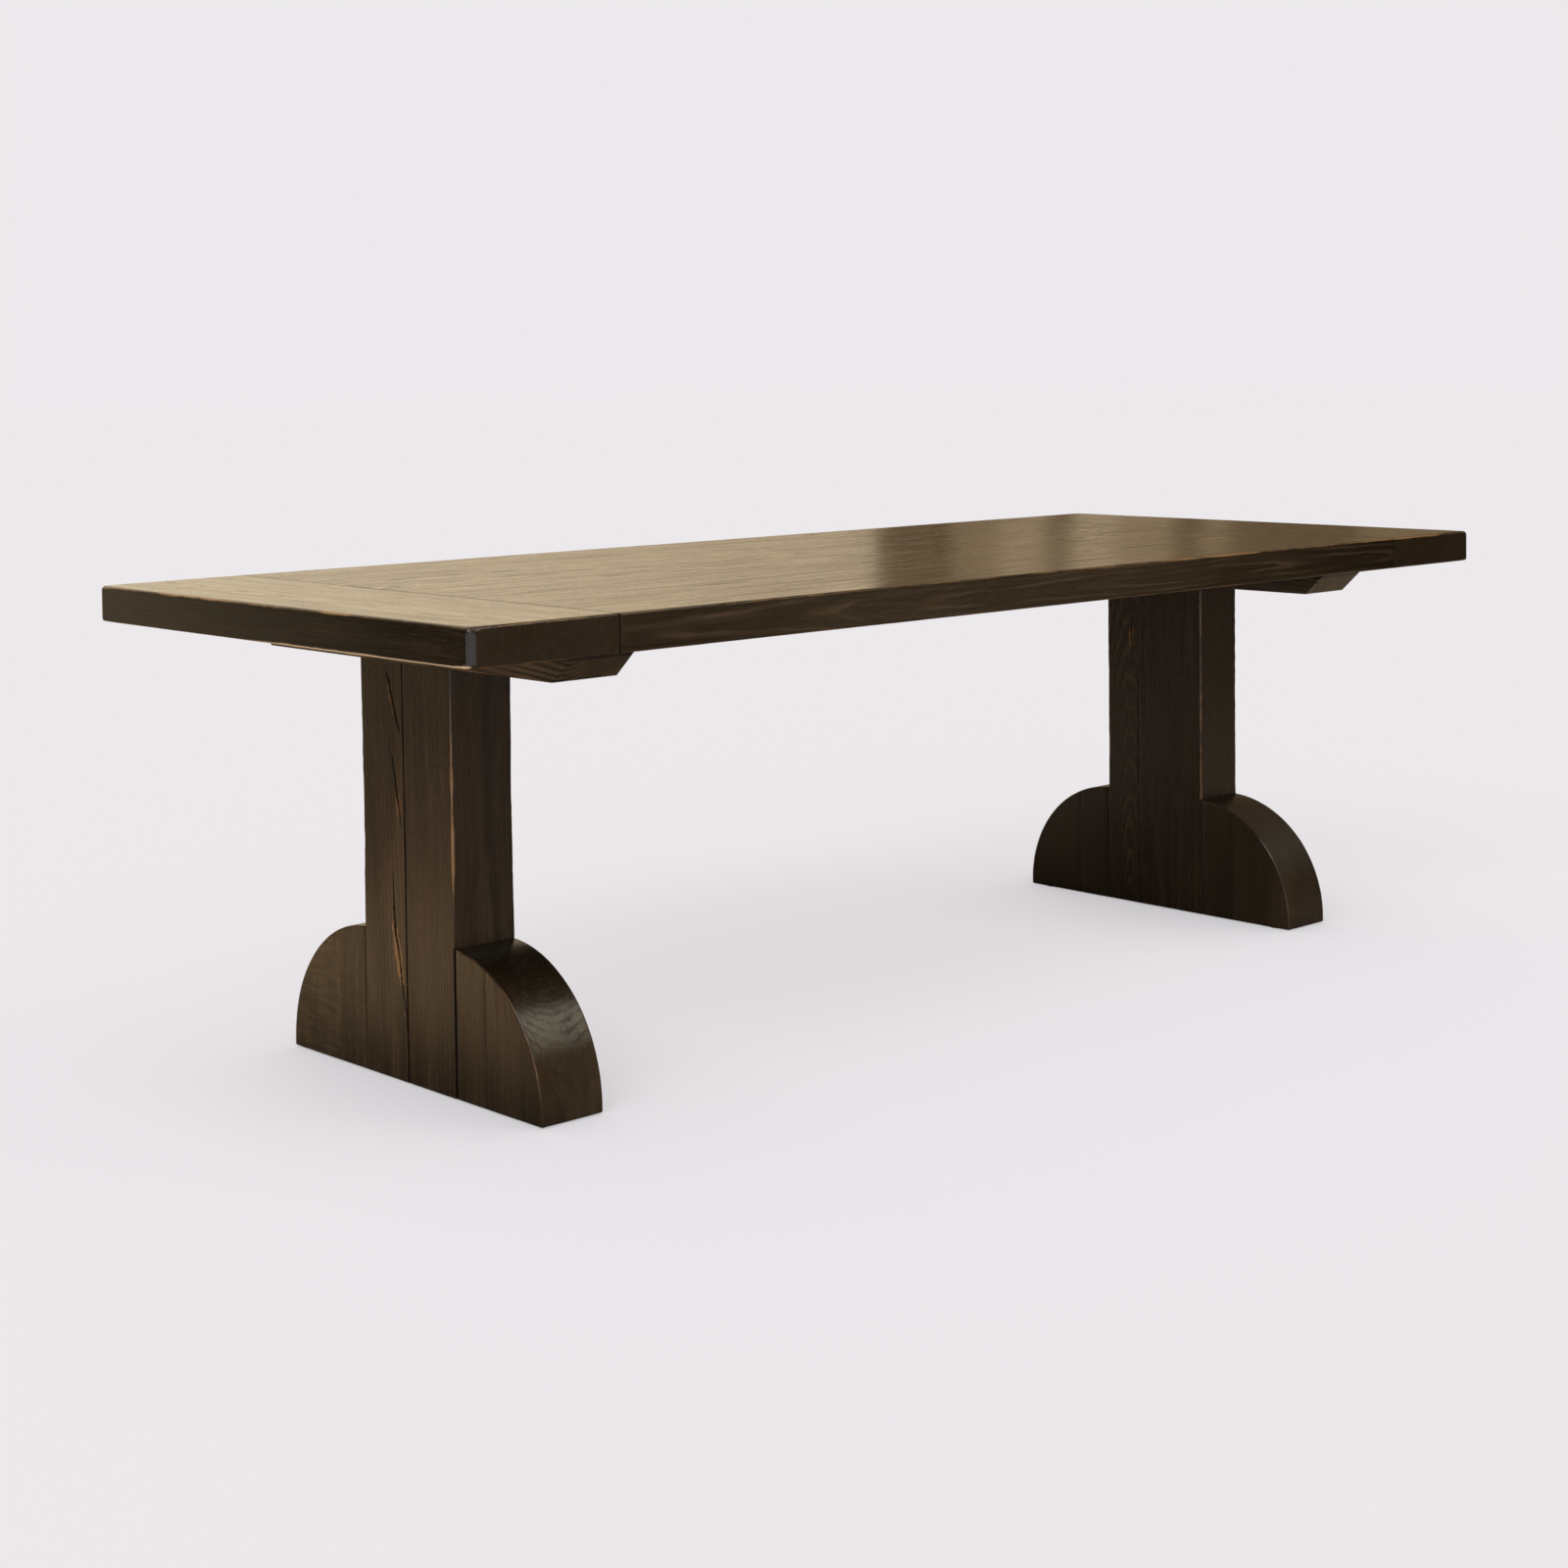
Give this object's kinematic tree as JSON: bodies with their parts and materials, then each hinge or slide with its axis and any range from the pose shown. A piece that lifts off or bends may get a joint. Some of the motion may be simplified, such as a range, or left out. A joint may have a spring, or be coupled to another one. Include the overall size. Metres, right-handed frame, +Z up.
{
  "type": "dining table",
  "caption": "Dark oak trestle dining table: a thick plank top with breadboard ends on two slab pedestals with rounded feet.",
  "frame": {"origin": "on the floor, under the middle of the top", "axes": "+X along the length of the top, +Y across it, +Z up"},
  "size_m": [2.4, 1, 0.76],
  "materials": {
    "oak_top": "dark stained oak, satin lacquer",
    "oak_base": "dark stained oak, satin lacquer",
    "oak_joinery": "bare oak",
    "zinc_steel": "zinc plated",
    "insert_metal": "plain",
    "glide_nylon": "matte"
  },
  "bodies": {
    "root": {"plank_1": "oak_top", "plank_2": "oak_top", "plank_3": "oak_top", "plank_4": "oak_top", "plank_5": "oak_top", "plank_6": "oak_top", "plank_splines": "oak_joinery", "breadboard_left": "oak_top", "breadboard_pegs_left": "oak_joinery", "post_near_left": "oak_base", "ear_inner_near_left": "oak_base", "ear_outer_near_left": "oak_base", "post_far_left": "oak_base", "ear_inner_far_left": "oak_base", "ear_outer_far_left": "oak_base", "batten_left": "oak_base", "post_splines_left": "oak_joinery", "ear_dowels_left": "oak_joinery", "coach_screws_left": "zinc_steel", "coach_washers_left": "zinc_steel", "top_bolts_left": "zinc_steel", "top_washers_left": "zinc_steel", "threaded_inserts_left": "insert_metal", "glides_left": "glide_nylon", "breadboard_right": "oak_top", "breadboard_pegs_right": "oak_joinery", "post_near_right": "oak_base", "ear_inner_near_right": "oak_base", "ear_outer_near_right": "oak_base", "post_far_right": "oak_base", "ear_inner_far_right": "oak_base", "ear_outer_far_right": "oak_base", "batten_right": "oak_base", "post_splines_right": "oak_joinery", "ear_dowels_right": "oak_joinery", "coach_screws_right": "zinc_steel", "coach_washers_right": "zinc_steel", "top_bolts_right": "zinc_steel", "top_washers_right": "zinc_steel", "threaded_inserts_right": "insert_metal", "glides_right": "glide_nylon"}
  },
  "joints": []
}
